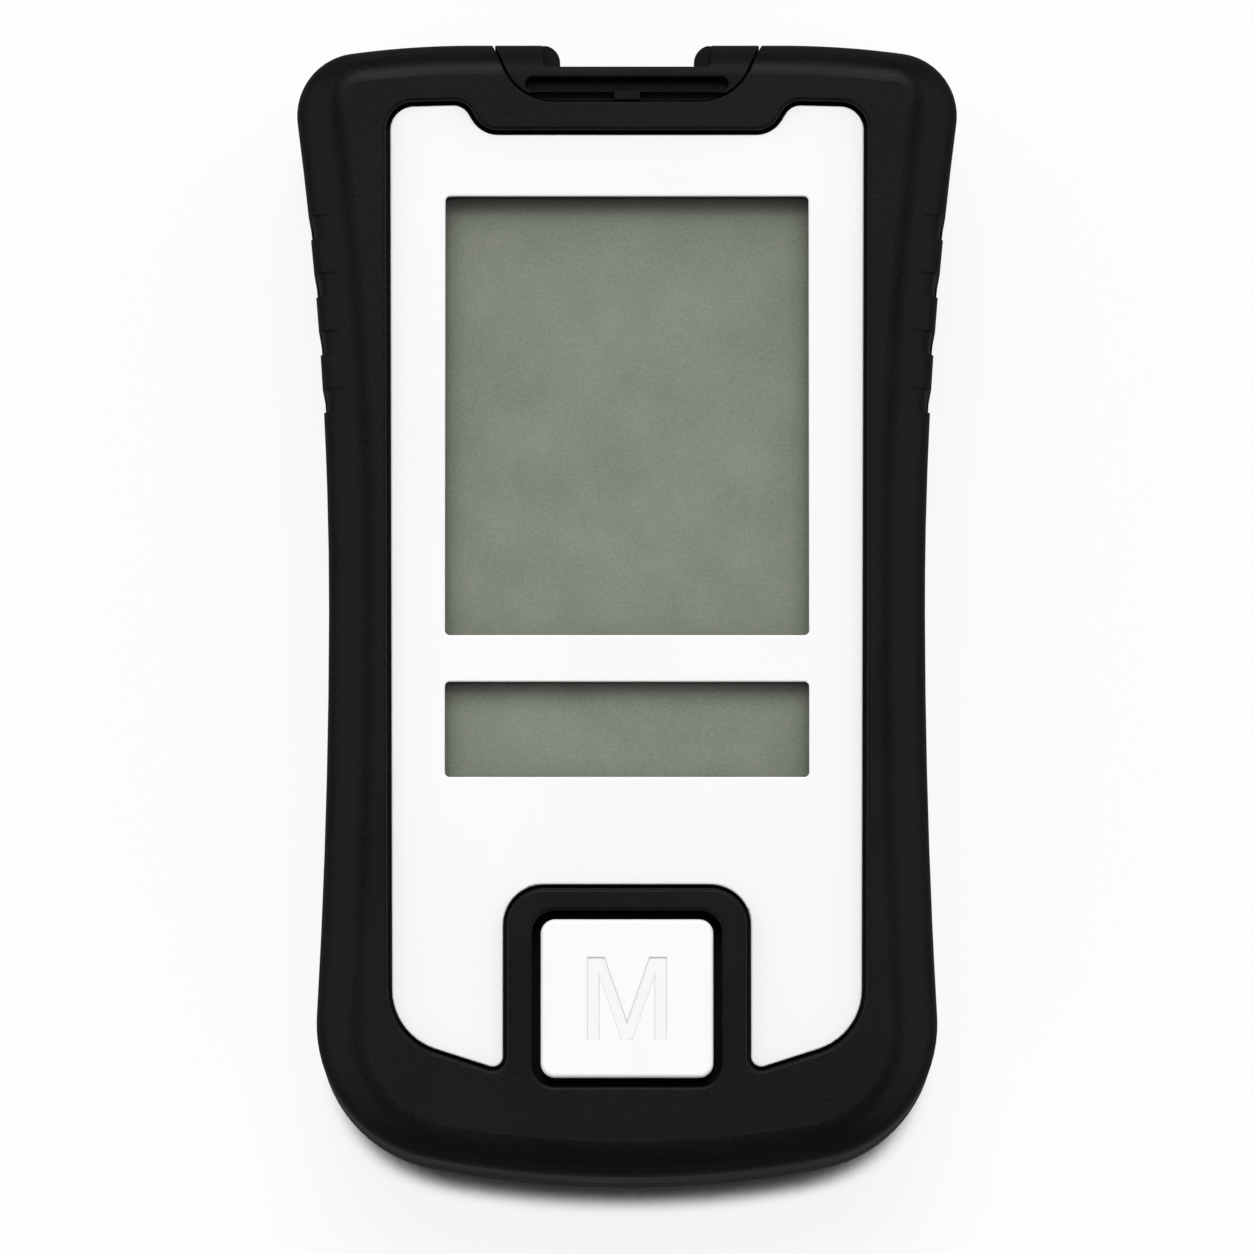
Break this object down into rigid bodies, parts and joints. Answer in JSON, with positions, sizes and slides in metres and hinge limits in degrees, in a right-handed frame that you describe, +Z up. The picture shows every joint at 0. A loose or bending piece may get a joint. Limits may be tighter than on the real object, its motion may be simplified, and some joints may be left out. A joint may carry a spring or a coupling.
{
  "type": "blood glucose meter",
  "caption": "Hand-held blood glucose meter with a waisted black case, white face plate, two display windows, a push key, a pull-out strip port cover and a sliding battery door.",
  "frame": {"origin": "middle of the case in plan, on the surface that its back rests on", "axes": "+Z up through the face, +Y towards the test-strip end, X across the case"},
  "size_m": [0.0554, 0.095, 0.021],
  "materials": {
    "case_black": "soft-touch black with a fine grain",
    "plate_white": "smooth white, satin gloss",
    "key_white": "smooth white, satin gloss",
    "silicone": "grey silicone rubber",
    "clear_window": "clear hard-coated acrylic",
    "lcd_grey": "grey-green reflective display film",
    "lcd_glass": "thin display glass",
    "reflector": "matt reflector film",
    "inner_plastic": "natural moulded plastic",
    "board_green": "green solder mask",
    "chip_black": "black moulding compound",
    "chip_part": "ceramic chip with tinned ends",
    "bright_metal": "nickel-plated steel",
    "gold_contact": "gold-plated spring contact",
    "cell_jacket": "plain printed film jacket",
    "screw_steel": "zinc-plated steel"
  },
  "bodies": {
    "case": {"front_case": "case_black", "rear_case": "case_black", "face_plate": "plate_white", "key_pad": "silicone", "display_lens": "clear_window", "lcd_polariser": "lcd_grey", "lcd_front_glass": "lcd_glass", "lcd_rear_glass": "lcd_glass", "lcd_reflector": "reflector", "zebra_strip": "silicone", "lcd_holder": "inner_plastic", "main_board": "board_green", "processor": "chip_black", "memory_chip": "chip_black", "crystal": "bright_metal", "buzzer": "chip_black", "chip_parts": "chip_part", "strip_connector": "inner_plastic", "strip_contacts": "gold_contact", "left_cell": "cell_jacket", "right_cell": "cell_jacket", "cell_springs": "bright_metal", "positive_terminal": "bright_metal", "negative_terminal": "bright_metal", "link_plate": "bright_metal", "case_screws": "screw_steel", "board_screws": "screw_steel"},
    "key": {"memory_key": "key_white"},
    "cover": {"port_cover": "case_black"},
    "door": {"battery_door": "case_black"}
  },
  "joints": [
    {"name": "key_press", "type": "slide", "parent": "case", "child": "key", "axis": [0, 0, -1], "range_m": [0, 0.0009], "stiffness_N_per_m": 1500, "deforming": ["key_pad"]},
    {"name": "cover_pull", "type": "slide", "parent": "case", "child": "cover", "axis": [0, 1, 0], "range_m": [0, 0.012]},
    {"name": "door_slide", "type": "slide", "parent": "case", "child": "door", "axis": [0, -1, 0], "range_m": [0, 0.062]}
  ]
}
